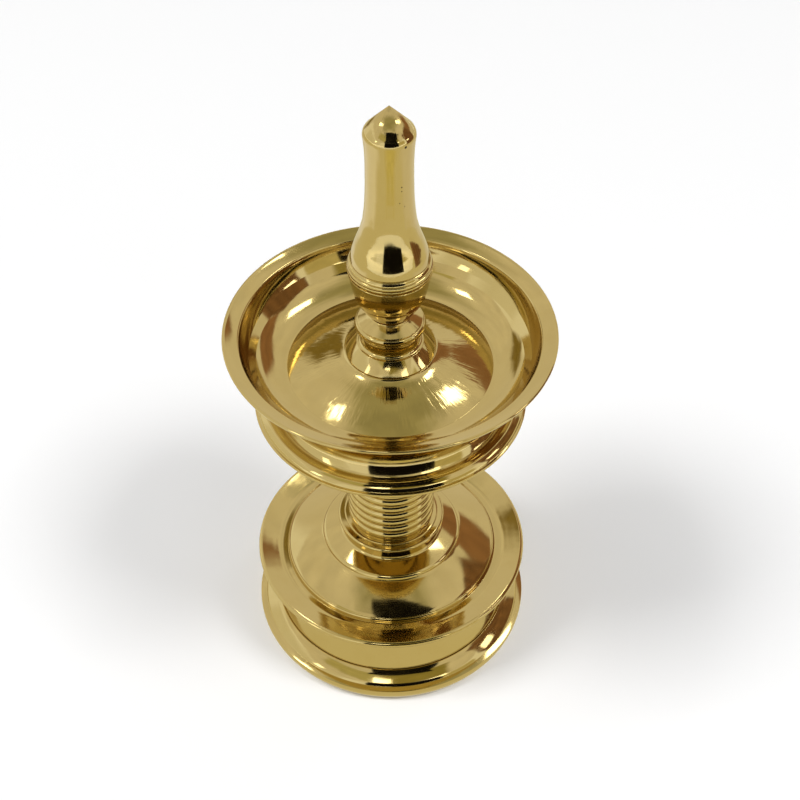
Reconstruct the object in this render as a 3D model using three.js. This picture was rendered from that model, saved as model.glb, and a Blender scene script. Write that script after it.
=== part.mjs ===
// Nilavilakku, a brass oil lamp that screws together from a base, a ribbed stem, an oil bowl and a finial.
// Millimetres, +Z up. The lamp stands on the plane z = 0 and its axis is the line x = y = 0.
import * as THREE from 'three';

// Fineness of the turned surfaces
const wideSides = 44;
const narrowSides = 32;
const studSides = 16;
const curveSteps = 3;
const roundEdgeSteps = 4;

// Base, in steps of height from the floor up
const footRingRadius = 33.95;
const footRingUndercut = 1.45;
const footRingHeight = 3.8;
const footContactWidth = 3.0;
const footLedgeWidth = 1.5;
const footBandRise = 2.6;
const footBandTopRadius = 28.9;
const waistRise = 7.6;
const waistRadius = 27.4;
const flangeUndersideRise = 7.0;
const flangeThickness = 1.7;
const flangeRadius = 33.2;
const flangeDishDepth = 1.5;
const coneFootRadius = 25.6;
const coneStepWidth = 0.3;
const coneStepRise = 1.2;
const coneRise = 3.9;
const neckFootRadius = 16.9;
const neckFootRise = 1.0;
const neckFootRounding = 0.8;
const neckSlopeRise = 1.2;
const neckSlopeTopRadius = 12.7;
const neckRise = 2.9;
const neckRadius = 12.1;
const collarRadius = 13.1;
const collarThickness = 1.2;
const stemSeatRadius = 11.3;
const stemSeatStep = 0.7;
const baseHubRadius = 9.0;

// Ribbed stem
const stemRadius = 10.4;
const stemRibs = 16;
const ribPitch = 2.375;
const ribGrooveDepth = 0.5;

// Oil bowl, in steps of height from the underside of its hub up
const bowlHubRadius = 9.8;
const skirtLift = 0.8;
const skirtRadius = 30.75;
const skirtEdgeRise = 1.0;
const skirtUndercut = 0.95;
const skirtRimWidth = 1.7;
const skirtCrownRise = 1.9;
const skirtCrownRadius = 28.6;
const skirtGrooveDepth = 1.2;
const skirtRootRadius = 26.2;
const bowlWaistRise = 3.4;
const bowlWaistRadius = 24.4;
const wellFloorRise = 4.6;
const wellFloorRadius = 22.8;
const floorEdgeStep = 0.3;
const floorConeRise = 4.2;
const finialSeatMargin = 0.3;
const lipRise = 4.5;
const lipRadius = 32.9;
const lipRounding = 0.6;
const rimRise = 1.3;
const rimRadius = 36.5;
const rimThickness = 1.2;

// Finial, in steps of height from its foot up
const finialFootRadius = 9.8;
const finialFootEdge = 0.4;
const footChamferRise = 2.4;
const footChamferTopRadius = 7.4;
const coveRise = 1.8;
const coveRadius = 6.2;
const discUndersideRise = 2.3;
const discRadius = 7.8;
const discThickness = 2.0;
const knobNeckRise = 1.8;
const knobNeckRadius = 4.45;
const cupRise = 12.15;
const cupRadius = 8.9;
const ringBandRise = 2.0;
const ringBandRadius = 9.05;
const ringGrooveDepth = 0.3;
const ringGrooveWidth = 0.25;
const upperRingRise = 1.05;
const upperRingRadius = 8.85;
const bellTopRadius = 8.3;
const bellRise = 9.5;
const bellWaistRise = 14.9;
const spireWaistRadius = 4.88;
const spireRise = 6.3;
const shoulderRadius = 5.28;
const shoulderChamferRise = 1.1;
const tipFootRadius = 4.85;
const tipRise = 5.1;

// Casting walls and the three screw studs
const baseWall = 2.2;
const bowlWall = 2.0;
const studRadius = 3.0;
const threadPitch = 1.5;
const threadDepth = 0.45;
const studGripTurns = 6;
const studRootTurns = 3;
const studEndGap = 0.5;
const boreClearance = 0.1;

// Radii and depths that fit the studs
const boreRadius = studRadius + boreClearance;
const gripDepth = studGripTurns * threadPitch + studEndGap;
const rootDepth = studRootTurns * threadPitch + studEndGap;

// Heights of the base
const footBandTop = footRingHeight + footBandRise;
const waistHeight = footBandTop + waistRise;
const flangeUnderside = waistHeight + flangeUndersideRise;
const flangeTop = flangeUnderside + flangeThickness;
const dishHeight = flangeTop - flangeDishDepth;
const coneFoot = dishHeight + coneStepRise;
const coneTop = coneFoot + coneRise;
const neckFootTop = coneTop + neckFootRise;
const neckSlopeTop = neckFootTop + neckSlopeRise;
const collarUnderside = neckSlopeTop + neckRise;
const collarTop = collarUnderside + collarThickness;
const baseTop = collarTop + stemSeatStep;

// Heights of the bowl above its hub
const skirtEdge = skirtLift + skirtEdgeRise;
const skirtCrown = skirtEdge + skirtCrownRise;
const skirtGroove = skirtCrown - skirtGrooveDepth;
const bowlWaistHeight = skirtCrown + bowlWaistRise;
const wellFloor = bowlWaistHeight + wellFloorRise;
const finialSeat = wellFloor + floorConeRise;
const lipHeight = finialSeat + lipRise;
const rimTop = lipHeight + rimRise;

// Heights of the finial above its foot
const chamferTop = finialFootEdge + footChamferRise;
const coveHeight = chamferTop + coveRise;
const discUnderside = coveHeight + discUndersideRise;
const discTop = discUnderside + discThickness;
const knobNeck = discTop + knobNeckRise;
const cupTop = knobNeck + cupRise;
const ringBandTop = cupTop + ringBandRise;
const bellFoot = ringBandTop + upperRingRise;
const bellTop = bellFoot + bellRise;
const spireWaist = bellTop + bellWaistRise;
const shoulderHeight = spireWaist + spireRise;
const tipFoot = shoulderHeight + shoulderChamferRise;
const finialLength = tipFoot + tipRise;

// Heights at which the pieces stand in the lamp
const stemLength = stemRibs * ribPitch;
const bowlHeight = baseTop + stemLength;
const finialHeight = bowlHeight + finialSeat;

const polishedBrass = { color: 0xc8a85a, roughness: 0.12, metalness: 1.0 };
const rodBrass = { color: 0xa88a45, roughness: 0.35, metalness: 1.0 };

// A piece turned about its axis from an outline of radius and height, standing at a height in the lamp
function turnedPiece(name, outline, sides, height, finish) {
  const geometry = new THREE.LatheGeometry(outline.getPoints(curveSteps), sides);
  geometry.rotateX(Math.PI / 2);
  const mesh = new THREE.Mesh(geometry, new THREE.MeshStandardMaterial(finish));
  mesh.name = name;
  mesh.position.z = height;
  return mesh;
}

// Half-round edge that swells out from the outline between two heights
function roundEdge(outline, widestRadius, swell, bottom, top) {
  const middle = (bottom + top) / 2;
  const halfHeight = (top - bottom) / 2;
  for (let step = 0; step <= roundEdgeSteps; step += 1) {
    const angle = Math.PI * (step / roundEdgeSteps - 0.5);
    outline.lineTo(widestRadius + swell * (Math.cos(angle) - 1), middle + halfHeight * Math.sin(angle));
  }
}

// Smooth curve on from the end of the outline through points given as [radius, height]
function curveThrough(outline, points) {
  outline.splineThru(points.map(([radius, height]) => new THREE.Vector2(radius, height)));
}

// Foot ring with its ledge, the convex band above it and the hollow waist up to the flange
function drawFootAndWaist(outline) {
  const contactRadius = footRingRadius - footRingUndercut;
  const ledgeRadius = footRingRadius - footLedgeWidth;
  const bandSpread = ledgeRadius - footBandTopRadius;
  outline.moveTo(contactRadius - footContactWidth, 0);
  outline.lineTo(contactRadius, 0);
  outline.quadraticCurveTo(footRingRadius, 0.3 * footRingHeight, footRingRadius, footRingHeight);
  outline.lineTo(ledgeRadius, footRingHeight);
  outline.quadraticCurveTo(ledgeRadius - 0.4 * bandSpread, footBandTop - 0.85, footBandTopRadius, footBandTop);
  outline.quadraticCurveTo(waistRadius + 0.4, footBandTop + 0.5 * waistRise, waistRadius, waistHeight);
  outline.quadraticCurveTo(waistRadius, flangeUnderside, flangeRadius - flangeThickness, flangeUnderside);
}

// Flange with its dished top, the step at the foot of the low cone and the cone itself
function drawFlangeAndDome(outline) {
  const dishRadius = coneFootRadius + coneStepWidth;
  const ledge = flangeRadius - dishRadius;
  roundEdge(outline, flangeRadius, 0.5 * flangeThickness, flangeUnderside, flangeTop);
  outline.quadraticCurveTo(dishRadius + 0.4 * ledge, dishHeight, dishRadius, dishHeight);
  outline.lineTo(coneFootRadius, coneFoot);
  outline.lineTo(neckFootRadius, coneTop);
}

// Rounded foot of the neck, its slope and hollow, the collar ring and the seat of the stem
function drawNeckAndSeat(outline) {
  const slopeFootRadius = neckFootRadius - neckFootRounding;
  outline.quadraticCurveTo(neckFootRadius, neckFootTop - 0.2, slopeFootRadius, neckFootTop);
  outline.lineTo(neckSlopeTopRadius, neckSlopeTop);
  outline.quadraticCurveTo(neckRadius, neckSlopeTop + 0.2, neckRadius, neckSlopeTop + 0.8);
  roundEdge(outline, collarRadius, 0.5 * collarThickness, collarUnderside, collarTop);
  outline.lineTo(stemSeatRadius, collarTop);
  outline.lineTo(stemSeatRadius, baseTop);
}

// Screw hub and hollow inside of the base, which is open below
function drawBaseInside(outline) {
  const hubBottom = baseTop - gripDepth - baseWall;
  const ceiling = coneTop - baseWall;
  const hollowRadius = waistRadius - baseWall;
  outline.lineTo(boreRadius, baseTop);
  outline.lineTo(boreRadius, hubBottom);
  outline.lineTo(baseHubRadius, hubBottom);
  outline.lineTo(baseHubRadius, ceiling);
  outline.lineTo(neckFootRadius - baseWall, ceiling);
  outline.quadraticCurveTo(hollowRadius, ceiling - 0.5 * baseWall, hollowRadius, waistHeight);
  outline.lineTo(hollowRadius, footBandTop);
  outline.lineTo(footRingRadius - footRingUndercut - footContactWidth, 0);
}

function makeBase() {
  const outline = new THREE.Path();
  drawFootAndWaist(outline);
  drawFlangeAndDome(outline);
  drawNeckAndSeat(outline);
  drawBaseInside(outline);
  return turnedPiece('base', outline, wideSides, 0, polishedBrass);
}

// Ribbed column with a blind screw hole in each end
function makeStem() {
  const grooveRadius = stemRadius - ribGrooveDepth;
  const outline = new THREE.Path();
  outline.moveTo(0, rootDepth);
  outline.lineTo(boreRadius, rootDepth);
  outline.lineTo(boreRadius, 0);
  outline.lineTo(grooveRadius, 0);
  for (let rib = 0; rib < stemRibs; rib += 1) {
    outline.lineTo(stemRadius, (rib + 0.3) * ribPitch);
    outline.lineTo(stemRadius, (rib + 0.7) * ribPitch);
    outline.lineTo(grooveRadius, (rib + 1) * ribPitch);
  }
  outline.lineTo(boreRadius, stemLength);
  outline.lineTo(boreRadius, stemLength - gripDepth);
  outline.lineTo(0, stemLength - gripDepth);
  return turnedPiece('stem', outline, narrowSides, baseTop, polishedBrass);
}

// Hub of the bowl with its screw hole, and the hollow between the hub and the skirt, open below
function drawBowlHollow(outline) {
  const hollowRadius = bowlWaistRadius - bowlWall;
  const hollowTop = finialSeat - bowlWall;
  outline.moveTo(0, rootDepth);
  outline.lineTo(boreRadius, rootDepth);
  outline.lineTo(boreRadius, 0);
  outline.lineTo(bowlHubRadius, 0);
  outline.lineTo(bowlHubRadius, hollowTop - 0.3);
  outline.quadraticCurveTo(hollowRadius, wellFloor - bowlWall, hollowRadius, bowlWaistHeight);
  outline.lineTo(hollowRadius, skirtCrown);
  outline.lineTo(skirtRadius - skirtUndercut - skirtRimWidth, skirtLift);
}

// Skirt with its rounded edge and crown, the bowl's waist and the outside of the bowl up to the rim
function drawBowlOutside(outline) {
  const rimUnderside = rimTop - rimThickness;
  const grooveSide = 0.6 * skirtRootRadius + 0.4 * skirtCrownRadius;
  outline.lineTo(skirtRadius - skirtUndercut, skirtLift);
  outline.quadraticCurveTo(skirtRadius, skirtLift, skirtRadius, skirtEdge);
  outline.quadraticCurveTo(skirtRadius, skirtCrown, skirtCrownRadius, skirtCrown);
  outline.quadraticCurveTo(grooveSide, skirtCrown, skirtRootRadius, skirtGroove);
  outline.quadraticCurveTo(bowlWaistRadius + 0.2, skirtGroove + 2, bowlWaistRadius, bowlWaistHeight);
  outline.quadraticCurveTo(bowlWaistRadius + 1, wellFloor - 1.5, bowlWaistRadius + 5.6, wellFloor + 3.2);
  outline.lineTo(rimRadius - 0.5, rimUnderside);
}

// Rim with its flat band and rounded lip, and the round wall of the well down to its floor
function drawRimAndWell(outline) {
  const halfRim = 0.5 * rimThickness;
  outline.lineTo(rimRadius, rimTop - halfRim);
  outline.lineTo(rimRadius, rimTop - 0.25 * rimThickness);
  outline.lineTo(rimRadius - 0.4, rimTop);
  outline.lineTo(lipRadius + lipRounding, lipHeight);
  outline.quadraticCurveTo(lipRadius, lipHeight, lipRadius, lipHeight - lipRounding);
  outline.quadraticCurveTo(lipRadius - 2.2, wellFloor + 1, wellFloorRadius, wellFloor);
}

// Low cone that makes the floor of the well and the blind screw hole under the finial
function drawBowlFloor(outline) {
  outline.lineTo(wellFloorRadius, wellFloor + floorEdgeStep);
  outline.lineTo(finialFootRadius + finialSeatMargin, finialSeat);
  outline.lineTo(boreRadius, finialSeat);
  outline.lineTo(boreRadius, finialSeat - gripDepth);
  outline.lineTo(0, finialSeat - gripDepth);
}

function makeBowl() {
  const outline = new THREE.Path();
  drawBowlHollow(outline);
  drawBowlOutside(outline);
  drawRimAndWell(outline);
  drawBowlFloor(outline);
  return turnedPiece('oil_bowl', outline, wideSides, bowlHeight, polishedBrass);
}

// Screw hole, spreading foot, cove and disc at the bottom of the finial
function drawFinialFoot(outline) {
  outline.moveTo(0, rootDepth);
  outline.lineTo(boreRadius, rootDepth);
  outline.lineTo(boreRadius, 0);
  outline.lineTo(finialFootRadius, 0);
  outline.lineTo(finialFootRadius, finialFootEdge);
  outline.lineTo(footChamferTopRadius, chamferTop);
  outline.quadraticCurveTo(coveRadius, chamferTop, coveRadius, coveHeight);
  outline.quadraticCurveTo(coveRadius, discUnderside - 0.9, discRadius - 0.5, discUnderside);
  roundEdge(outline, discRadius, 0.5, discUnderside, discTop);
  outline.quadraticCurveTo(knobNeckRadius + 1, discTop + 0.4, knobNeckRadius, knobNeck);
}

// V-shaped groove turned between two radii, with its deepest point at a height
function cutGroove(outline, lowerRadius, upperRadius, height) {
  const deepest = Math.min(lowerRadius, upperRadius) - ringGrooveDepth;
  outline.lineTo(lowerRadius, height - 0.5 * ringGrooveWidth);
  outline.lineTo(deepest, height);
  outline.lineTo(upperRadius, height + 0.5 * ringGrooveWidth);
}

// Cup that widens upwards and the two rings round its widest part, parted by three grooves
function drawCupAndRings(outline) {
  const cupSpread = cupRadius - knobNeckRadius;
  curveThrough(outline, [
    [knobNeckRadius + 0.48 * cupSpread, knobNeck + 0.28 * cupRise],
    [knobNeckRadius + 0.85 * cupSpread, knobNeck + 0.71 * cupRise],
    [cupRadius, cupTop - ringGrooveWidth],
  ]);
  cutGroove(outline, cupRadius, ringBandRadius, cupTop);
  cutGroove(outline, ringBandRadius, upperRingRadius, ringBandTop);
  cutGroove(outline, bellTopRadius + 0.2, bellTopRadius, bellFoot);
}

// Bell shape that narrows into the spire, the small shoulder and the pointed tip
function drawBellAndSpire(outline) {
  const bellSpread = bellTopRadius - spireWaistRadius;
  curveThrough(outline, [
    [spireWaistRadius + 0.83 * bellSpread, bellFoot + 0.25 * bellRise],
    [spireWaistRadius + 0.6 * bellSpread, bellFoot + 0.54 * bellRise],
    [spireWaistRadius + 0.22 * bellSpread, bellTop],
    [spireWaistRadius + 0.04 * bellSpread, bellTop + 0.5 * bellWaistRise],
    [spireWaistRadius, spireWaist],
    [shoulderRadius, shoulderHeight],
  ]);
  outline.lineTo(tipFootRadius, tipFoot);
  outline.lineTo(0, finialLength);
}

function makeFinial() {
  const outline = new THREE.Path();
  drawFinialFoot(outline);
  drawCupAndRings(outline);
  drawBellAndSpire(outline);
  return turnedPiece('finial', outline, narrowSides, finialHeight, polishedBrass);
}

// Screw stud across the joint between two pieces, its thread drawn as even rings
function makeStud(name, jointHeight) {
  const turns = studGripTurns + studRootTurns;
  const outline = new THREE.Path();
  outline.moveTo(0, 0);
  outline.lineTo(studRadius - threadDepth, 0);
  for (let turn = 0; turn < turns; turn += 1) {
    outline.lineTo(studRadius, (turn + 0.5) * threadPitch);
    outline.lineTo(studRadius - threadDepth, (turn + 1) * threadPitch);
  }
  outline.lineTo(0, turns * threadPitch);
  return turnedPiece(name, outline, studSides, jointHeight - studGripTurns * threadPitch, rodBrass);
}

const group = new THREE.Group();
group.add(makeBase());
group.add(makeStem());
group.add(makeBowl());
group.add(makeFinial());
group.add(makeStud('stem_stud', baseTop));
group.add(makeStud('bowl_stud', bowlHeight));
group.add(makeStud('finial_stud', finialHeight));

export default group;
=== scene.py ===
# %% [markdown]
# # A nilavilakku, the standing oil lamp of Kerala
#
# The real lamp is made of four brass castings: a base, a ribbed stem, an oil bowl and a finial. Each one was
# spun on a lathe and cut to its shape, and they screw together with short threaded studs. So everything here
# is a body of revolution: we draw half of its section once, as a line of corners, and spin that line round
# the lamp's axis. This lesson loads the measured solids first, because their places and sizes are fixed, and
# then turns a finer skin for each casting and polishes it.

# %% Load the measured solids
import math

import bpy
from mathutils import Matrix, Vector


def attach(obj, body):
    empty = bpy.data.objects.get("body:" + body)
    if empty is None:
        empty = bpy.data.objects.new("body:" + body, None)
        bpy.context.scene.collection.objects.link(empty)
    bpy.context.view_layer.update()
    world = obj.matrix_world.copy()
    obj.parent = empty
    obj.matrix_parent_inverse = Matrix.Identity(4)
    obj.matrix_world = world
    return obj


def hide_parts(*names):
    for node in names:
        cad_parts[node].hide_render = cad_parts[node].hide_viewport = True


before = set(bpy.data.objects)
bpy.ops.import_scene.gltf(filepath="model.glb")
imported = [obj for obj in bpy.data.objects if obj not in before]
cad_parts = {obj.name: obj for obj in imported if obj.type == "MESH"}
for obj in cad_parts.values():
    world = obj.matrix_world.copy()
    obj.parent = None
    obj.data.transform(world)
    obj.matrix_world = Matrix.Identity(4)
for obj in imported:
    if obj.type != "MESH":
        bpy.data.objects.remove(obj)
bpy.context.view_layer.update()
print("nodes:", sorted(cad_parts))

# %% [markdown]
# ## Drawing an outline
#
# A wood or metal turner thinks in three strokes: a round bead or hollow between two points, a bend that
# leaves along one line and arrives along another, and a slow curve through several points. Each stroke
# returns points of radius and height in millimetres, and an outline is just strokes added end to end. A
# spline drawn by hand would do as well, but strokes keep the crisp corners that the cutting tool leaves. The
# first stroke is an arc, which is all that a bead, a groove or a rounded lip needs.

# %% Bead and hollow strokes
def bow(start, end, swell, parts=10):
    """Arc from start to end. A positive swell bulges to the right of the way drawn, a negative one hollows."""
    (r0, z0), (r1, z1) = start, end
    chord = math.hypot(r1 - r0, z1 - z0)
    out_r, out_z = (z1 - z0) / chord, (r0 - r1) / chord
    half_angle = 2 * math.atan(2 * swell / chord)
    points = []
    for i in range(parts + 1):
        angle = half_angle * (2 * i / parts - 1)
        along = 0.5 + 0.5 * math.sin(angle) / math.sin(half_angle)
        out = 0.5 * chord * (math.cos(angle) - math.cos(half_angle)) / math.sin(half_angle)
        points.append((r0 + along * (r1 - r0) + out * out_r, z0 + along * (z1 - z0) + out * out_z))
    return points


print("a bead 4 mm high:", [(round(r, 2), round(z, 2)) for r, z in bow((10, 0), (10, 4), 1, 4)])

# %% [markdown]
# ## Bends and slow curves
#
# The wall of the bowl leaves the rim steeply and arrives almost flat on the floor, and no arc does that. The
# bend is drawn for it: it aims from each end at one corner, as a Bezier curve does. A waist or a bell was
# measured at several heights instead, so the slow curve goes through every point that it is given.

# %% Bend and slow curve strokes
def bend(start, corner, end, parts=10):
    """Curve that leaves start towards the corner and arrives at end from the corner."""
    points = []
    for i in range(parts + 1):
        t = i / parts
        shares = ((1 - t) ** 2, 2 * t * (1 - t), t ** 2)
        points.append(tuple(sum(s * p[k] for s, p in zip(shares, (start, corner, end))) for k in (0, 1)))
    return points


def through(points, parts=6):
    """Smooth curve through every point."""
    ends = [points[0]] + list(points) + [points[-1]]
    curve = [points[0]]
    for a, b, c, d in zip(ends, ends[1:], ends[2:], ends[3:]):
        for i in range(1, parts + 1):
            t = i / parts
            curve.append(tuple(
                0.5 * (2 * q + (r - p) * t + (2 * p - 5 * q + 4 * r - s) * t ** 2
                       + (3 * q - p - 3 * r + s) * t ** 3)
                for p, q, r, s in zip(a, b, c, d)))
    return curve


print("points in a slow curve:", len(through([(0, 0), (5, 4), (6, 9)])))

# %% [markdown]
# ## From an outline to a turned piece
#
# By hand, you would add a plane, merge it to one corner, extrude that corner along the outline, and then
# spin the line a full turn. The helper does exactly that. Merging doubles afterwards joins the first and the
# last line of the spin and the corners that lie on the axis, and the normals are made consistent because a
# spin can come out inside out. A narrow bevel takes the edge off each sharp corner, since a polished casting
# has no knife edges and a rounded one catches a thin line of light.

# %% Turn an outline round the axis
MM = 0.001
SPIN_STEPS = 192
WELD_DISTANCE = 0.002
EDGE_ROUNDING = 0.09
ROUNDING_STEPS = 2
SHARP_ANGLE = math.radians(24)


def draw_line(outline):
    bpy.ops.object.select_all(action="DESELECT")
    bpy.ops.mesh.primitive_plane_add(size=MM)
    bpy.ops.object.mode_set(mode="EDIT")
    bpy.ops.mesh.select_all(action="SELECT")
    bpy.ops.mesh.merge(type="CENTER")
    here = Vector((0, 0, 0))
    for count, (radius, height) in enumerate(outline):
        there = Vector((radius * MM, 0, height * MM))
        if count == 0:
            bpy.ops.transform.translate(value=there)
        else:
            bpy.ops.mesh.extrude_region_move(TRANSFORM_OT_translate={"value": there - here})
        here = there


def turn(name, outline, body, node):
    draw_line(outline)
    bpy.ops.mesh.select_all(action="SELECT")
    bpy.ops.mesh.spin(steps=SPIN_STEPS, angle=2 * math.pi, center=(0, 0, 0), axis=(0, 0, 1))
    bpy.ops.mesh.select_all(action="SELECT")
    bpy.ops.mesh.remove_doubles(threshold=WELD_DISTANCE * MM)
    bpy.ops.mesh.normals_make_consistent(inside=False)
    bpy.ops.object.mode_set(mode="OBJECT")
    piece = bpy.context.object
    piece.name = piece.data.name = name
    rounding = piece.modifiers.new("edge rounding", "BEVEL")
    rounding.width = EDGE_ROUNDING * MM
    rounding.segments = ROUNDING_STEPS
    rounding.limit_method = "ANGLE"
    rounding.angle_limit = SHARP_ANGLE
    bpy.ops.object.modifier_apply(modifier=rounding.name)
    bpy.ops.object.shade_smooth_by_angle(angle=SHARP_ANGLE)
    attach(piece, body)
    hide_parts(node)
    print(name, "has", len(piece.data.polygons), "faces")
    return piece


print("a full turn in steps of", 360 / SPIN_STEPS, "degrees")

# %% [markdown]
# ## The base
#
# The foot is a ring with a narrow ledge on top, and a broad band rises from the ledge to the waist. The waist
# is hollow and leads up to a flange, whose dished top ends against a small step. A low cone rises from the
# step to the spreading foot of the neck, and the neck ends in two rings, on which the stem sits. Underneath,
# the casting is hollow round a hub with the screw hole, so the outline comes back down inside and closes on
# itself. Each pair below is a radius and a height.

# %% Outline of the base
STUD_HOLE = 3.1
BASE_TOP = 33.3

foot = (
    [(29.4, 0.0), (32.4, 0.0)]
    + bow((32.5, 0.03), (33.85, 3.75), 0.62, 8)
    + [(32.45, 3.9)]
    + through([(32.4, 3.95), (32.0, 4.42), (31.0, 5.22), (30.1, 5.85), (29.15, 6.38)])
    + [(28.95, 6.2)]
)
waist = bow((28.95, 6.4), (27.4, 14.0), -0.22) + bow((27.4, 14.0), (32.3, 20.9), -1.5)[1:]
flange = (
    bow((32.45, 21.0), (32.55, 22.6), 0.72)
    + through([(32.4, 22.66), (31.2, 22.25), (29.2, 21.6), (27.8, 21.2), (26.6, 21.16), (26.0, 21.2)])
    + bow((25.97, 21.25), (25.55, 22.42), 0.17, 6)
    + [(25.42, 22.3)]
)
cone = bow((25.35, 22.42), (17.0, 26.3), 0.12, 12)
neck = (
    bow((16.95, 26.4), (16.15, 27.35), 0.18, 5)
    + bow((12.8, 28.47), (12.15, 29.3), -0.2, 5)
    + [(12.1, 31.45)]
    + bow((12.4, 31.5), (12.4, 32.65), 0.57)
    + bow((11.3, 32.7), (11.25, 33.2), 0.2)
    + [(11.0, BASE_TOP), (STUD_HOLE, BASE_TOP)]
)
base_inside = (
    [(STUD_HOLE, 21.6), (9.0, 21.6), (9.0, 24.1), (14.8, 24.1)]
    + bend((14.8, 24.1), (25.2, 23.0), (25.2, 14.0))[1:]
    + [(25.2, 6.3), (29.4, 0.0)]
)
base_outline = foot + waist + flange + cone + neck + base_inside
print("corners of the base's outline:", len(base_outline))

# %% [markdown]
# ## Turning the base
#
# One call spins the outline, rounds its edges and tells the frame two things: which body carries the piece, and
# which measured solid it takes the place of.

# %% Turn the base
base = turn("base_casting", base_outline, "base_body", "base")

# %% [markdown]
# ## The stem
#
# The stem is a rod cut with even grooves, which leave sixteen rounded ribs. One rib is drawn as a bead, and a
# loop stacks it, since a row of beads by hand would never come out so even. Both ends have a blind hole for a
# stud, so the outline starts and ends on the axis, at the bottom of these holes.

# %% Turn the stem
RIBS = 16
RIB_PITCH = 2.375
GROOVE_RADIUS = 9.9
STEM_TOP = BASE_TOP + RIBS * RIB_PITCH
ROOT_DEPTH = 5.0
GRIP_DEPTH = 9.5

ribs = []
for rib in range(RIBS):
    rib_foot = BASE_TOP + rib * RIB_PITCH
    ribs += bow((10.0, rib_foot + 0.08), (10.0, rib_foot + RIB_PITCH - 0.08), 0.42, 8)

stem_outline = (
    [(0.0, BASE_TOP + ROOT_DEPTH), (STUD_HOLE, BASE_TOP + ROOT_DEPTH), (STUD_HOLE, BASE_TOP)]
    + [(GROOVE_RADIUS, BASE_TOP)]
    + ribs
    + [(GROOVE_RADIUS, STEM_TOP), (STUD_HOLE, STEM_TOP)]
    + [(STUD_HOLE, STEM_TOP - GRIP_DEPTH), (0.0, STEM_TOP - GRIP_DEPTH)]
)
stem = turn("stem_column", stem_outline, "stem_body", "stem")

# %% [markdown]
# ## The oil bowl
#
# Seen from outside, the bowl stands on a skirt with a rounded edge. A groove parts the skirt from the waist,
# and the wall then opens out to the rim, a flat band with a rounded lip. Inside, the wall of the well is
# round, and the floor rises in a low cone to the finial, so that the oil runs outwards. The outline goes up
# the hidden hub first, then round the outside and back down into the well.

# %% Outline of the bowl
BOWL_FLOOR_TOP = 87.2

hub_and_hollow = (
    [(0.0, STEM_TOP + ROOT_DEPTH), (STUD_HOLE, STEM_TOP + ROOT_DEPTH), (STUD_HOLE, STEM_TOP)]
    + [(9.8, STEM_TOP), (9.8, 84.9)]
    + bend((9.8, 84.9), (22.4, 81.0), (22.4, 78.4))[1:]
    + [(22.4, 74.9)]
)
skirt = (
    [(28.1, 72.1), (29.9, 72.1)]
    + bow((30.1, 72.12), (30.68, 73.3), 0.3, 6)
    + [(30.25, 73.38)]
    + through([(30.15, 73.45), (29.87, 73.98), (29.45, 74.42), (28.9, 74.83), (28.3, 74.98), (27.7, 74.9),
               (27.0, 74.6), (26.4, 74.1)])
    + [(26.2, 73.8)]
)
bowl_side = through([
    (26.1, 73.9), (25.5, 74.6), (24.95, 75.5), (24.58, 76.6), (24.4, 78.2), (25.0, 80.4),
    (26.9, 82.8), (29.9, 86.2), (33.3, 89.9), (35.9, 91.75)])
rim = (
    bow((36.05, 91.8), (36.5, 92.6), 0.06, 4)
    + [(36.5, 92.75), (36.3, 93.0)]
    + bow((36.1, 92.98), (33.5, 91.95), -0.05, 6)
    + bow((33.4, 91.92), (32.85, 91.3), 0.16, 6)
)
well = (
    bend((32.85, 91.3), (30.7, 84.0), (22.85, 83.0), 24)[1:]
    + [(22.7, 83.1), (14.0, 85.7)]
    + bend((14.0, 85.7), (10.7, 86.5), (9.95, 87.15), 12)[1:]
    + [(9.9, BOWL_FLOOR_TOP)]
    + [(STUD_HOLE, BOWL_FLOOR_TOP), (STUD_HOLE, BOWL_FLOOR_TOP - GRIP_DEPTH)]
    + [(0.0, BOWL_FLOOR_TOP - GRIP_DEPTH)]
)
bowl_outline = hub_and_hollow + skirt + bowl_side + rim + well
print("corners of the bowl's outline:", len(bowl_outline))

# %% [markdown]
# ## Turning the bowl
#
# The bowl is spun like the base. It rides on its own body, because it lifts off the stem when it is unscrewed.

# %% Turn the bowl
bowl = turn("oil_bowl_casting", bowl_outline, "bowl_body", "oil_bowl")

# %% [markdown]
# ## The finial
#
# The finial is one casting from its spreading foot to its point. Above the foot come a hollow, a small disc
# and a neck, then a cup that opens upwards to a band with fine cut rings. The bell above the rings draws in
# to a slim spire, which flares a little under the short cone at the tip.

# %% Outline of the finial
finial_foot = (
    [(0.0, BOWL_FLOOR_TOP + ROOT_DEPTH), (STUD_HOLE, BOWL_FLOOR_TOP + ROOT_DEPTH)]
    + [(STUD_HOLE, BOWL_FLOOR_TOP)]
    + [(9.65, BOWL_FLOOR_TOP), (9.8, 87.3), (9.8, 87.55), (7.4, 89.95)]
    + through([(7.35, 90.0), (6.8, 90.12), (6.35, 90.6), (6.2, 91.5), (6.2, 92.4), (6.5, 93.4), (7.3, 94.1)])
    + bow((7.35, 94.15), (7.35, 96.05), 0.42)
    + [(7.0, 96.12)]
)
cup = through([
    (7.1, 96.25), (6.0, 96.9), (5.0, 97.5), (4.5, 97.9), (4.65, 98.4), (5.6, 99.6),
    (6.6, 101.2), (7.6, 103.4), (8.25, 106.2), (8.75, 109.0), (8.9, 109.85)])
rings = (
    [(8.78, 109.98)]
    + bow((9.0, 110.08), (9.03, 110.98), 0.04, 4)
    + [(8.95, 111.05)]
    + bow((9.03, 111.12), (8.95, 111.92), 0.04, 4)
    + [(8.7, 112.0)]
    + bow((8.82, 112.1), (8.45, 112.97), 0.08, 4)
    + [(8.15, 113.06)]
)
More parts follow.
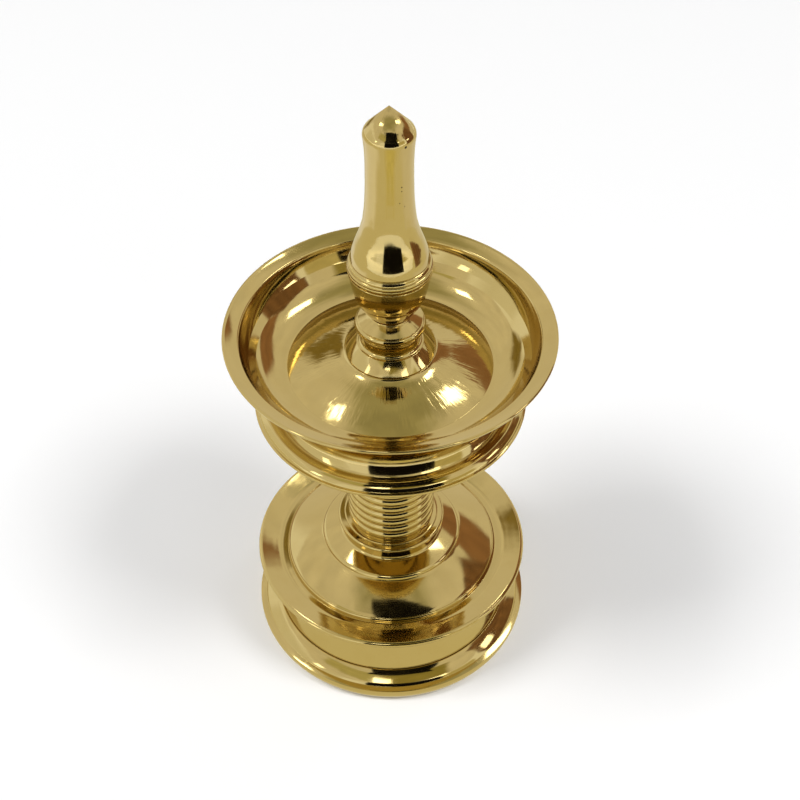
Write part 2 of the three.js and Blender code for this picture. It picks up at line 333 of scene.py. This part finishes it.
bell = through([
    (8.3, 113.2), (8.05, 114.8), (7.7, 116.0), (7.3, 117.2), (6.9, 118.3), (6.45, 119.6),
    (6.05, 121.0), (5.61, 122.9), (5.37, 124.7), (5.15, 126.9), (4.97, 130.1)])
spire = through([(4.97, 130.1), (4.9, 133.5), (4.89, 137.4), (4.99, 140.2), (5.15, 142.2), (5.27, 143.3)])[1:]
tip = bow((5.28, 143.7), (4.85, 144.9), 0.08, 5) + [(0.0, 150.0)]
finial_outline = finial_foot + cup + rings + bell + spire + tip
print("corners of the finial's outline:", len(finial_outline))

# %% [markdown]
# ## Turning the finial
#
# The finial is the last casting. Its outline has the most corners, and the narrow bevel keeps each of them as a
# thin bright line.

# %% Turn the finial
finial = turn("finial_casting", finial_outline, "finial_body", "finial")

# %% [markdown]
# ## Shader maths in plain Python
#
# A procedural finish is a sum of masks, and long chains of Math nodes are hard to read. The class Field wraps a
# socket, so that an expression such as 1 - mask adds its Math node by itself. Paint makes any other node from
# its type, its settings and its inputs. Colours go through Mix nodes, because a Math node turns a colour grey.

# %% A wrapper for a node tree and one for a socket
class Paint:
    """Builds nodes in one material, or in the world."""

    def __init__(self, owner):
        self.material = bpy.data.materials.new(owner) if isinstance(owner, str) else owner
        self.material.use_nodes = True
        self.tree = self.material.node_tree
        self.tree.nodes.clear()

    def node(self, kind, settings=None, **inputs):
        """An input is called by its label, or by an underscore and its number."""
        made = self.tree.nodes.new(kind)
        for key, value in (settings or {}).items():
            setattr(made, key, value)
        for key, value in inputs.items():
            socket = made.inputs[int(key[1:])] if key[0] == "_" else made.inputs[key.replace("_", " ")]
            if isinstance(value, Field):
                self.tree.links.new(value.socket, socket)
            else:
                socket.default_value = value
        return made

    def field(self, kind, output, settings=None, **inputs):
        return Field(self, self.node(kind, settings, **inputs).outputs[output])


class Field:
    """A number, a colour or a place that changes over the surface."""

    def __init__(self, paint, socket):
        self.paint = paint
        self.socket = socket

    def maths(self, operation, first, second=0.0):
        return self.paint.field("ShaderNodeMath", 0, {"operation": operation}, _0=first, _1=second)

    def __add__(self, other):
        return self.maths("ADD", self, other)

    def __sub__(self, other):
        return self.maths("SUBTRACT", self, other)

    def __rsub__(self, other):
        return self.maths("SUBTRACT", other, self)

    def __mul__(self, other):
        return self.maths("MULTIPLY", self, other)

    def __truediv__(self, other):
        return self.maths("DIVIDE", self, other)

    def __rtruediv__(self, other):
        return self.maths("DIVIDE", other, self)

    def __pow__(self, other):
        return self.maths("POWER", self, other)

    def __rpow__(self, other):
        return self.maths("POWER", other, self)

    __radd__ = __add__
    __rmul__ = __mul__

    def greatest(self, other):
        return self.maths("MAXIMUM", self, other)

    def size(self):
        return self.maths("ABSOLUTE", self)

    def fade(self, none_at, full_at):
        """0 at none_at and 1 at full_at, with a smooth slope between them."""
        return self.paint.field("ShaderNodeMapRange", "Result", {"interpolation_type": "SMOOTHSTEP"},
                                Value=self, From_Min=none_at, From_Max=full_at)


print("shader maths is ready")

# %% [markdown]
# ## Places and noise
#
# Every pattern on the brass starts from Object coordinates. They are fixed to the metal, so nothing slides when
# a casting is lifted or turned. The distance from the axis is worked out as well, because a lathe leaves its
# marks in rings. A noise node then turns a place into a number between 0 and 1.

# %% Places and noise
def lathe_coordinates(paint):
    place = paint.field("ShaderNodeTexCoord", "Object")
    split = paint.node("ShaderNodeSeparateXYZ", None, Vector=place)
    x, y, z = (Field(paint, split.outputs[k]) for k in range(3))
    return place, x, y, z, (x * x + y * y) ** 0.5


def point(paint, x, y, z):
    return paint.field("ShaderNodeCombineXYZ", "Vector", None, X=x, Y=y, Z=z)


def noise(paint, where, scale, detail=2.0, rough=0.5):
    return paint.field("ShaderNodeTexNoise", "Fac", {"noise_dimensions": "3D"}, Vector=where, Scale=scale,
                       Detail=detail, Roughness=rough)


print("a noise of scale 100 has patches about", round(1000 / 100), "mm wide")

# %% [markdown]
# ## Colours of the brass
#
# A polished metal colours what it mirrors, so its base colour is the colour of one reflection, and a second
# reflection between two castings comes out deeper by itself. Wiping leaves some patches a little browner. They
# are mixed in through a colour ramp, which keeps most of the metal clean.

# %% Mixing the brass
BRASS = (0.61, 0.476, 0.195, 1.0)
BRASS_DEEP = (0.56, 0.42, 0.15, 1.0)


def mix_colour(paint, share, first, second):
    made = paint.node("ShaderNodeMix", {"data_type": "RGBA"}, _0=share, _6=first, _7=second)
    return Field(paint, made.outputs[2])


def ramp(paint, value, stops):
    made = paint.node("ShaderNodeValToRGB", None, Fac=value)
    colours = made.color_ramp.elements
    while len(colours) < len(stops):
        colours.new(1.0)
    for element, (at, grey) in zip(colours, stops):
        element.position = at
        element.color = (grey, grey, grey, 1.0)
    return Field(paint, made.outputs["Color"])


print("green is", round(BRASS[1] / BRASS[0], 2), "of the red in one reflection")

# %% [markdown]
# ## Casting pits
#
# Sand castings have small pits, and the spire shows four of them in a line with a larger nick under the tip.
# The pits are not cut into the metal, so each one is painted shade: a dark spot round a point on the metal,
# where a Vector Math node measures the distance to that point.

# %% Casting pits on the spire
# Painted shade: the pits are not cut into the metal, so their dark insides are painted in this colour.
PIT_SHADE = (0.045, 0.028, 0.012, 1.0)
PITS = (  # x, y, z and size in millimetres
    (2.39, -4.27, 134.03, 0.16),
    (2.39, -4.29, 133.08, 0.13),
    (1.99, -4.54, 130.36, 0.12),
    (2.98, -4.03, 129.22, 0.11),
    (3.14, -4.23, 143.37, 0.30),
)


def pit_share(paint, place):
    """1 inside a pit and 0 elsewhere."""
    share = 0.0
    for x, y, z, size in PITS:
        away = paint.field("ShaderNodeVectorMath", "Value", {"operation": "DISTANCE"}, _0=place,
                           _1=(x * MM, y * MM, z * MM))
        share = away.fade(1.3 * size * MM, 0.6 * size * MM) + share
    return share


print("pits:", len(PITS))

# %% [markdown]
# ## Polished brass
#
# Brass that has been buffed mirrors the whole room, so most of its look comes from small departures from a
# perfect mirror. The surface swells very slightly where the casting was ground, which makes reflections waver.
# The lathe left fine rings, which smear highlights across them. Buffing the bowl's floor and the tip by hand
# left faint rays that run outwards, and wiping left cloudy patches that are a little duller. Heights in the
# code are in metres, as the Bump node expects.

# %% Rings, swells, rays and smudges
RING_SCALE, RING_WANDER, RING_DEPTH = 5200.0, 20.0, 0.0000012
SWELL_SCALE, SWELL_DEPTH = 95.0, 0.00009
RIPPLE_SCALE, RIPPLE_DEPTH = 330.0, 0.000014
RAYS_ROUND, RAYS_OUTWARDS, RAY_DEPTH = 9.0, 90.0, 0.00007
FLOOR_EDGE, FLOOR_CENTRE, FLOOR_HEIGHT = (0.0225, 0.0205), (0.0098, 0.0125), (0.0822, 0.0828)
TIP_HEIGHT, TIP_SHARE = (0.1448, 0.1454), 0.4
SMUDGE_SCALE, SMUDGE_TINT = 160.0, 0.35
SMUDGE_STOPS = [(0.45, 0.0), (0.75, 1.0)]
CLEAN_ROUGHNESS, SMUDGE_ROUGHNESS = 0.07, 0.06


def hand_buffed(z, radius):
    """1 on the bowl's floor, less on the cone of the tip and 0 elsewhere."""
    bowl_floor = radius.fade(*FLOOR_EDGE) * radius.fade(*FLOOR_CENTRE) * z.fade(*FLOOR_HEIGHT)
    return bowl_floor + z.fade(*TIP_HEIGHT) * TIP_SHARE


def polished_brass(name):
    paint = Paint(name)
    place, x, y, z, radius = lathe_coordinates(paint)
    rings = noise(paint, point(paint, radius * RING_SCALE, z * RING_SCALE, x * RING_WANDER), 1.0, 3.0, 0.6)
    swells = noise(paint, place, SWELL_SCALE, 1.0, 0.4)
    ripples = noise(paint, place, RIPPLE_SCALE, 1.0, 0.4)
    round_and_out = point(paint, x / radius * RAYS_ROUND, y / radius * RAYS_ROUND, radius * RAYS_OUTWARDS)
    rays = (noise(paint, round_and_out, 1.0, 3.0, 0.6) - 0.5) * hand_buffed(z, radius)
    height = rings * RING_DEPTH + swells * SWELL_DEPTH + ripples * RIPPLE_DEPTH + rays * RAY_DEPTH
    bump = paint.field("ShaderNodeBump", "Normal", None, Strength=1.0, Distance=1.0, Height=height)
    smudge = ramp(paint, noise(paint, place, SMUDGE_SCALE, 4.0, 0.6), SMUDGE_STOPS)
    colour = mix_colour(paint, smudge * SMUDGE_TINT, BRASS, BRASS_DEEP)
    # Painted shade of the pits on the spire, which are not cut into the metal.
    colour = mix_colour(paint, pit_share(paint, place), colour, PIT_SHADE)
    shader = paint.field("ShaderNodeBsdfPrincipled", "BSDF", None, Base_Color=colour, Metallic=1.0,
                         Roughness=smudge * SMUDGE_ROUGHNESS + CLEAN_ROUGHNESS, Normal=bump)
    paint.node("ShaderNodeOutputMaterial", None, Surface=shader)
    return paint.material


casting_brass = polished_brass("polished brass")
for piece in (base, stem, bowl, finial):
    piece.data.materials.clear()
    piece.data.materials.append(casting_brass)
print("nodes in the brass:", len(casting_brass.node_tree.nodes))

# %% [markdown]
# ## The threaded studs
#
# The three studs are hidden until the lamp is unscrewed. They are the measured solids themselves, and they
# only need a duller brass, since nobody polishes a thread.

# %% Brass of the studs
THREAD_DARK = (0.42, 0.29, 0.09, 1.0)
THREAD_BRIGHT = (0.55, 0.40, 0.14, 1.0)
STAIN_SCALE = 700.0
THREAD_ROUGHNESS, STAIN_ROUGHNESS = 0.25, 0.2
STUDS = ("stem_stud", "bowl_stud", "finial_stud")


def rod_brass(name):
    paint = Paint(name)
    place = paint.field("ShaderNodeTexCoord", "Object")
    stains = noise(paint, place, STAIN_SCALE, 3.0, 0.6)
    colour = mix_colour(paint, stains, THREAD_DARK, THREAD_BRIGHT)
    shader = paint.field("ShaderNodeBsdfPrincipled", "BSDF", None, Base_Color=colour, Metallic=1.0,
                         Roughness=stains * STAIN_ROUGHNESS + THREAD_ROUGHNESS)
    paint.node("ShaderNodeOutputMaterial", None, Surface=shader)
    return paint.material


thread_brass = rod_brass("cut thread brass")
for node in STUDS:
    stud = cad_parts[node]
    stud.data.materials.clear()
    stud.data.materials.append(thread_brass)
print("studs finished:", len(STUDS))

# %% [markdown]
# ## White floor
#
# The lamp stands on a wide white floor, a plain matt surface that keeps the soft shadows. The lamps light it
# less and less with distance, so a glow that only the camera and mirrored rays see lifts it back to white far
# away. Light Path picks out those rays. Metal shows its surroundings, so mirrored rays need that white too.

# %% White floor
FLOOR_WHITE = (0.82, 0.82, 0.82, 1.0)
PURE_WHITE = (1.0, 1.0, 1.0, 1.0)
FLOOR_RADIUS = 4.0
NEAR_GLOW, FAR_GLOW = 0.08, 0.8
GLOW_STARTS, GLOW_FULL = 0.35, 2.2


def seen_directly(paint):
    path = paint.node("ShaderNodeLightPath")
    rays = [Field(paint, path.outputs[k]) for k in ("Is Camera Ray", "Is Glossy Ray", "Is Transmission Ray")]
    return rays[0] + rays[1] + rays[2]


bpy.ops.object.select_all(action="DESELECT")
bpy.ops.mesh.primitive_circle_add(vertices=96, radius=FLOOR_RADIUS, fill_type="NGON")
floor = bpy.context.object
floor.name = "floor"
floor_paint = Paint("white floor")
distance_out = lathe_coordinates(floor_paint)[4]
glow = distance_out.fade(GLOW_STARTS, GLOW_FULL) * FAR_GLOW + NEAR_GLOW
matt = floor_paint.field("ShaderNodeBsdfDiffuse", "BSDF", None, Color=FLOOR_WHITE)
lift = floor_paint.field("ShaderNodeEmission", "Emission", None, Color=PURE_WHITE,
                         Strength=seen_directly(floor_paint) * glow)
both = floor_paint.field("ShaderNodeAddShader", 0, None, _0=matt, _1=lift)
floor_paint.node("ShaderNodeOutputMaterial", None, Surface=both)
floor.data.materials.append(floor_paint.material)
print("floor radius in m:", round(floor.dimensions.x / 2, 2))

# %% [markdown]
# ## White room
#
# The world is white to the camera and in the metal, but it lights the floor only weakly. That leaves most of
# the light to the two shadow lamps, and so the shadows come out as clear as in the picture.

# %% White room
ROOM_LIGHT = 0.24

world = bpy.data.worlds.new("white room")
bpy.context.scene.world = world
world_paint = Paint(world)
room = world_paint.field("ShaderNodeBackground", "Background", None, Color=PURE_WHITE,
                         Strength=seen_directly(world_paint) * (1 - ROOM_LIGHT) + ROOM_LIGHT)
world_paint.node("ShaderNodeOutputWorld", None, Surface=room)
print("room light on matt surfaces:", ROOM_LIGHT)

# %% [markdown]
# ## Soft lamps
#
# Two large soft lamps, one on each side, lay the two grey shadows on the floor. Brass would mirror them as
# big white blots, so they are hidden from mirrored rays. The small lamps do the opposite: they are the windows
# and ceiling lights of the room, and the metal shows each one as a white spot. Their directions were worked
# out from the bright spots in the picture, by following each one from the camera to the metal and out again.

# %% Soft lamps
CENTRE = Vector((0, 0, 0.07))


def direction(azimuth, elevation):
    """Azimuth 0 points to the camera, 90 to the right."""
    a, e = math.radians(azimuth), math.radians(elevation)
    return Vector((math.sin(a) * math.cos(e), -math.cos(a) * math.cos(e), math.sin(e)))


def soft_box(name, azimuth, elevation, distance, width, height, glow, mirrored=True):
    light = bpy.data.lights.new(name, "AREA")
    light.shape = "RECTANGLE"
    light.size, light.size_y = width, height
    light.energy = glow * math.pi * width * height
    lamp = bpy.data.objects.new(name, light)
    bpy.context.collection.objects.link(lamp)
    lamp.location = CENTRE + distance * direction(azimuth, elevation)
    lamp.rotation_euler = direction(azimuth, elevation).to_track_quat("Z", "Y").to_euler()
    lamp.visible_glossy = mirrored
    return lamp


soft_box("shadow lamp left", -78, 54, 2.4, 0.84, 0.84, 15.2, mirrored=False)
soft_box("shadow lamp right", 65, 57, 2.4, 0.72, 0.72, 16.6, mirrored=False)
soft_box("ceiling lamp left", -110, 63, 1.4, 0.20, 0.14, 5.0)
soft_box("ceiling lamp right", 126, 56, 1.4, 0.20, 0.28, 5.0)
soft_box("left window", -58, 24, 1.4, 0.16, 0.42, 2.0)
soft_box("front lamp", -9, 44, 1.8, 0.34, 0.22, 3.5)
soft_box("front lamp right", 36, 31, 1.8, 0.42, 0.30, 2.2)
soft_box("right window", 82, 22, 0.40, 0.07, 0.06, 3.0)

# %% [markdown]
# ## Cards that the brass mirrors
#
# Polished metal is shaped by what it mirrors. Without dark cards brass looks like yellow paint, and without
# off-white ones it looks like a mirror in an empty room. Each card is a flat sheet that glows in its own
# colour, and only mirrored rays see it, so it neither blocks the camera nor shades the floor. A little noise
# keeps the tone from being flat and makes the edge of the sheet ragged.

# %% Making a card
NEAR_RAGGED, FAR_RAGGED = 0.02, 0.12


def card(name, place, facing, width, height, colour, mottle=0.0, grain=3.0, ragged=NEAR_RAGGED):
    bpy.ops.object.select_all(action="DESELECT")
    bpy.ops.mesh.primitive_plane_add(size=1.0)
    sheet = bpy.context.object
    sheet.name = name
    sheet.scale = (width, height, 1.0)
    sheet.location = place
    sheet.rotation_euler = Vector(facing).to_track_quat("Z", "Y").to_euler()
    paint = Paint(name)
    on_sheet, x, y = lathe_coordinates(paint)[:3]
    spots = noise(paint, on_sheet, grain, 3.0, 0.6)
    tone = paint.field("ShaderNodeEmission", "Emission", None, Color=(*colour, 1.0),
                       Strength=(spots - 0.5) * (2.0 * mottle) + 1.0)
    clear = paint.field("ShaderNodeBsdfTransparent", 0)
    reach = x.size().greatest(y.size()) + (spots - 0.5) * ragged
    trimmed = paint.field("ShaderNodeMixShader", 0, None, _0=reach.fade(0.5, 0.5 - ragged), _1=clear, _2=tone)
    paint.node("ShaderNodeOutputMaterial", None, Surface=trimmed)
    sheet.data.materials.append(paint.material)
    sheet.visible_camera = sheet.visible_diffuse = sheet.visible_shadow = False
    return sheet


def far_card(name, azimuth, elevation, distance, width, height, colour, mottle=0.0, grain=3.0):
    way = direction(azimuth, elevation)
    return card(name, CENTRE + distance * way, way, width, height, colour, mottle, grain, FAR_RAGGED)


print("the edge of a far card frays over", round(100 * FAR_RAGGED), "% of its size")

# %% [markdown]
# ## Dark cards
#
# Black in front gives the foot, the skirt and the bell their dark upright marks. The brown and olive cards at
# the right and behind give the streaks in the well of the bowl. A near card is seen at another place by each
# casting, and a far one at the same place by all, and that is how their distances were told from the picture.

# %% Black, brown and olive cards
BLACK = (0.006, 0.005, 0.004)
UMBER = (0.21, 0.11, 0.055)
RUST = (0.32, 0.17, 0.09)
DARK_OLIVE = (0.26, 0.19, 0.05)
OLIVE = (0.34, 0.29, 0.09)
MOSS = (0.56, 0.52, 0.27)
DIM = (0.42, 0.40, 0.25)

dark_cards = [
    card("black card in front", (0.13, -0.60, 0.25), (0, -1, 0), 0.69, 0.50, BLACK),
    card("black card at the lens", (0.033, -0.20, 0.30), (0, -1, 0), 0.235, 0.08, BLACK),
    card("black card above", (0.05, -0.20, 0.40), (0, 0, 1), 0.27, 0.19, BLACK),
    card("umber cupboard", (0.42, 0.03, 0.25), (1, 0, 0), 0.34, 0.54, UMBER, 1.2, 7.0, ragged=0.06),
    card("olive shelf", (-0.057, 0.098, 0.143), (-0.45, 0.9, 0.45), 0.060, 0.046, DARK_OLIVE, 0.6, 5.0,
         ragged=0.25),
    card("dim card above", (0.05, 0.15, 1.7), (0, 0, 1), 1.7, 1.7, DIM, 0.5, 4.0, ragged=0.3),
    far_card("rust board", 134, 30, 0.75, 0.55, 0.30, RUST, 0.5),
    far_card("olive card", 22, 48, 1.9, 1.6, 0.75, OLIVE, 0.4),
    far_card("moss card", -40, 50, 2.1, 1.3, 0.65, MOSS, 0.3),
]
print("dark cards:", len(dark_cards))

# %% [markdown]
# ## Pale walls, ceiling and table
#
# The walls of the room are off-white, and the table that the lamp stood on is straw yellow in front and whiter
# at the sides. These pale cards give the brass its clean stretches. The ones on the table lie a hair above the
# floor, where only mirrored rays find them, so the floor in the picture stays white.

# %% Walls, ceiling and table
STRAW = (0.62, 0.55, 0.30)
PALE = (0.84, 0.82, 0.74)
CREAM = (0.80, 0.76, 0.68)
TABLE = (0.78, 0.73, 0.52)
TABLE_GOLD = (0.76, 0.68, 0.30)
TABLE_WHITE = (0.97, 0.95, 0.92)
TABLE_GREY = (0.82, 0.78, 0.68)

pale_cards = [
    far_card("left wall", -75, 8, 2.2, 3.6, 2.2, PALE, 0.12),
    far_card("straw wall", 50, 8, 1.9, 1.1, 1.6, STRAW, 0.3),
    far_card("right wall", 110, 5, 2.4, 3.4, 2.6, CREAM, 0.15),
    far_card("back wall", 180, 20, 2.4, 4.6, 2.4, CREAM, 0.12),
    card("ceiling", (0, 0, 2.6), (0, 0, 1), 7.0, 7.0, CREAM, 0.3, 8.0),
    card("table mat", (0.0, 0.62, 0.0002), (0, 0, 1), 3.0, 1.9, TABLE),
    card("golden mat in front", (0.01, -0.15, 0.0004), (0, 0, 1), 0.17, 0.15, TABLE_GOLD, 0.3, 6.0,
         ragged=0.35),
    card("white table left", (-0.17, 0.05, 0.0004), (0, 0, 1), 0.15, 0.34, TABLE_WHITE, 0.1, ragged=0.2),
    card("white table right", (0.17, 0.05, 0.0004), (0, 0, 1), 0.15, 0.34, TABLE_GREY, 0.1, ragged=0.2),
]
print("pale cards:", len(pale_cards))

# %% [markdown]
# ## Camera
#
# The lamp was seen from above at about 45 degrees with a short telephoto view. The place and the lens come
# from fitting the ellipses that the rims make in the picture.

# %% Camera at its place in the picture
LENS = 64.35
CAMERA_PLACE = (0.0, -0.229409, 0.302305)
LOOK_DOWN = 0.789357
SWING = 0.0082279
ROLL = -0.001137

camera_data = bpy.data.cameras.new("camera")
camera_data.lens = LENS
camera_data.sensor_width = 36.0
camera_data.clip_start = 0.01
camera = bpy.data.objects.new("camera", camera_data)
bpy.context.collection.objects.link(camera)
bpy.context.scene.camera = camera
camera.location = CAMERA_PLACE
camera.rotation_euler = (math.pi / 2 - LOOK_DOWN, ROLL, -SWING)
print("camera stands", round(1000 * camera.location.length), "mm from the foot")

# %% [markdown]
# ## Finishing
#
# The picture uses plain colour management, so that a colour shows as it was mixed.

# %% Plain colour management
bpy.context.scene.view_settings.view_transform = "Standard"
